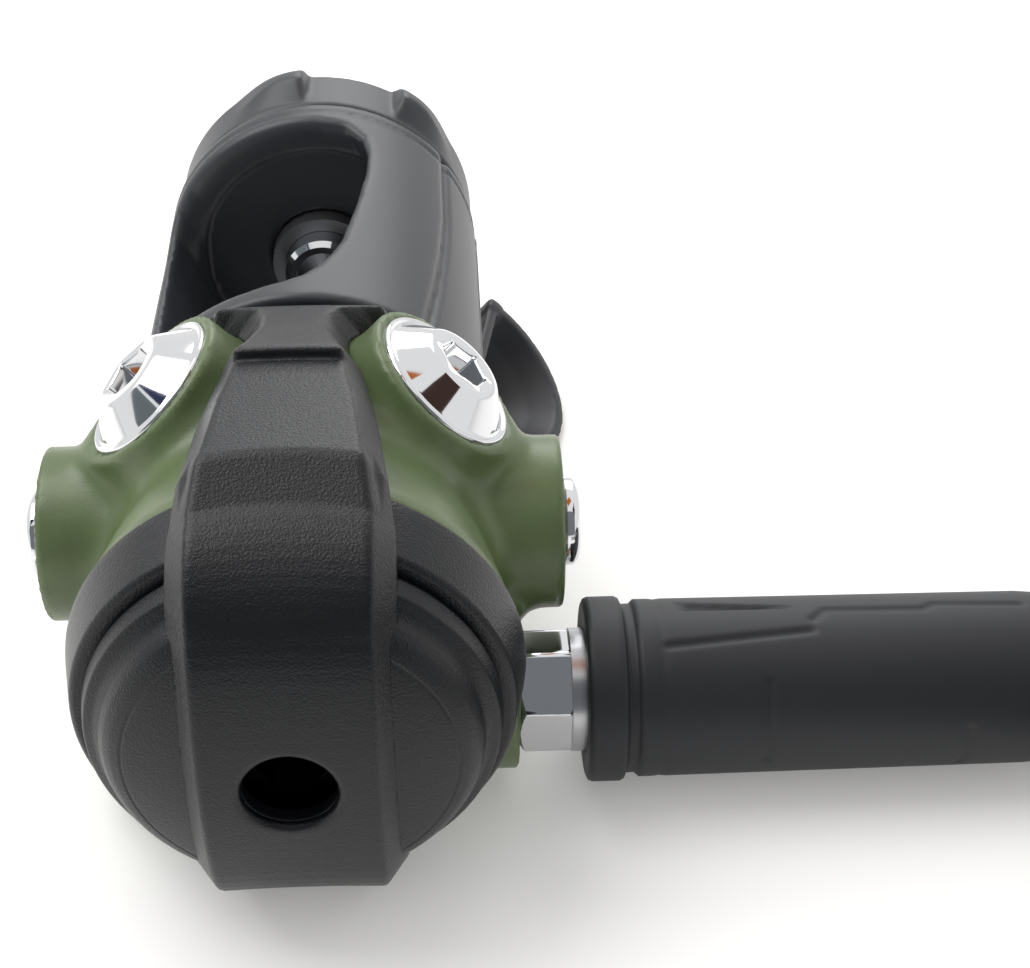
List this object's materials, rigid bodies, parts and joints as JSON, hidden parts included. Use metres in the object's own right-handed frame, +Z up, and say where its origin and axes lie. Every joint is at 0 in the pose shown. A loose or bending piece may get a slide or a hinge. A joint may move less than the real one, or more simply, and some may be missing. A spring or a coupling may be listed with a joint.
{
  "type": "scuba regulator first stage",
  "caption": "Yoke-clamp diaphragm first stage with domed cap, ported green body, lobed clamp knob, dust cap and a coiled low-pressure hose with a swivel nut.",
  "frame": {"origin": "on the ground, below the middle of the first stage's box, hose left out", "axes": "+Y along the body axis from the dome towards the knob, +Z up, +X towards the hose side"},
  "size_m": [0.2596, 0.2287, 0.0632],
  "materials": {
    "green_coating": "olive green coating, satin and finely grained, over brass",
    "black_plastic": "fine-grained moulded black",
    "sheath_rubber": "smooth satin black overmoulding",
    "cap_rubber": "soft satin black",
    "guard_rubber": "matte dark grey moulded rubber",
    "hose_rubber": "smooth black hose cover",
    "seal_rubber": "black sealing rubber",
    "chrome": "polished chrome plate on brass",
    "steel": "bright stainless",
    "satin_steel": "satin stainless",
    "brass": "machined brass",
    "black_plate": "black plating on brass",
    "sintered_bronze": "sintered bronze grain"
  },
  "bodies": {
    "first_stage": {"body": "green_coating", "cap_ring": "black_plastic", "dome_cover": "black_plastic", "cover_strap": "black_plastic", "spring_body": "chrome", "spring_adjuster": "black_plate", "main_spring": "steel", "diaphragm": "seal_rubber", "valve_seat": "brass", "poppet_spring": "steel", "balance_plug": "brass", "balance_o_ring": "seal_rubber", "high_pressure_plugs": "chrome", "high_pressure_o_rings": "seal_rubber", "low_pressure_plugs": "chrome", "low_pressure_o_rings": "seal_rubber", "inlet_retainer": "chrome", "inlet_filter": "sintered_bronze", "filter_clip": "steel", "yoke_frame": "satin_steel", "yoke_sheath": "sheath_rubber", "hose_fitting": "chrome", "fitting_o_ring": "seal_rubber", "crimp_ferrule": "steel", "hose_guard": "guard_rubber", "hose": "hose_rubber", "hose_coil": "hose_rubber", "end_ferrule": "satin_steel", "end_stem": "chrome", "end_o_ring": "seal_rubber"},
    "valve_train": {"spring_pad": "steel", "valve_lifter": "steel", "valve_poppet": "brass"},
    "screw_tip": {"screw_pad": "steel"},
    "knob": {"yoke_screw": "chrome", "knob": "sheath_rubber", "knob_washer": "black_plastic"},
    "dust_cap": {"dust_cap": "cap_rubber"},
    "swivel_nut": {"swivel_nut": "chrome"}
  },
  "joints": [
    {"name": "screw_travel", "type": "slide", "parent": "first_stage", "child": "screw_tip", "axis": [0, 1, 0], "range_m": [0, 0.01368]},
    {"name": "knob_turn", "type": "hinge", "parent": "screw_tip", "child": "knob", "pos_m": [-0.0015, 0.064, 0.0302], "axis": [0, 1, 0], "range_deg": [0, 2520]},
    {"name": "valve_lift", "type": "slide", "parent": "first_stage", "child": "valve_train", "axis": [0, 1, 0], "range_m": [-0.00055, 0], "stiffness_N_per_m": 3000, "deforming": ["main_spring", "diaphragm", "poppet_spring"]},
    {"name": "dust_cap_swing", "type": "hinge", "parent": "first_stage", "child": "dust_cap", "pos_m": [-0.0015, -0.0027, 0.0302], "axis": [0, 1, 0], "continuous": true},
    {"name": "nut_spin", "type": "hinge", "parent": "first_stage", "child": "swivel_nut", "pos_m": [0.06, -0.148, 0.01], "axis": [-1, 0, 0], "continuous": true}
  ],
  "couplings": [
    {"joint": "knob_turn", "follows": "screw_travel", "rad_per_m": 3215.6}
  ]
}
